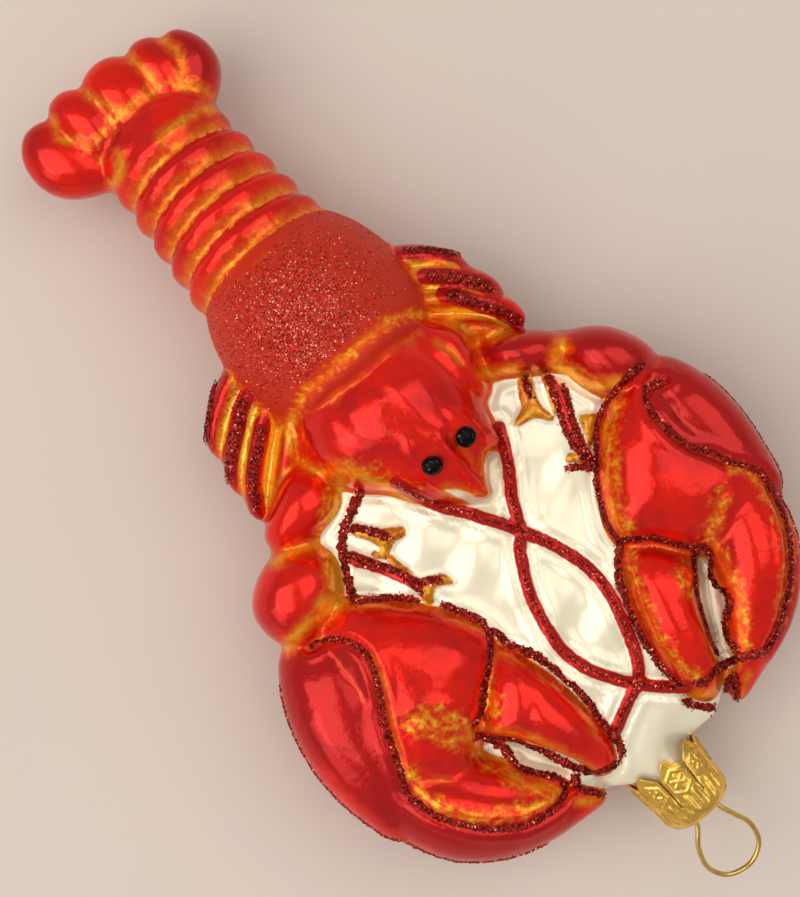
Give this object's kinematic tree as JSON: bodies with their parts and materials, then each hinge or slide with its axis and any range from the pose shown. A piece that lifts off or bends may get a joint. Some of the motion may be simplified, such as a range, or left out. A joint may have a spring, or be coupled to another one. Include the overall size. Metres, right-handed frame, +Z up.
{
  "type": "glass lobster ornament",
  "caption": "Blown-glass tree ornament in the form of a cooked red lobster, with a gold crown cap and a wire hanging loop.",
  "frame": {"origin": "on the table under the middle of the ornament's box, as it lies belly down", "axes": "+Y from the hanging loop and claws to the tail fan, +Z up through the lobster's back, +X to its side that is uppermost on the right of the picture"},
  "size_m": [0.0836, 0.1562, 0.0318],
  "materials": {
    "painted_glass": "silvered glass under glossy candy-red, amber and pearl-white lacquer",
    "glitter": "coarse dark-red glitter on glue",
    "black_paint": "glossy black paint with fine glitter",
    "stamped_gold": "thin stamped sheet, gold lacquered, soft gloss",
    "gold_wire": "drawn wire, smooth, pale gold"
  },
  "bodies": {
    "root": {"glass_lobster": "painted_glass", "cap": "stamped_gold", "hanging_wire": "gold_wire"}
  },
  "joints": []
}
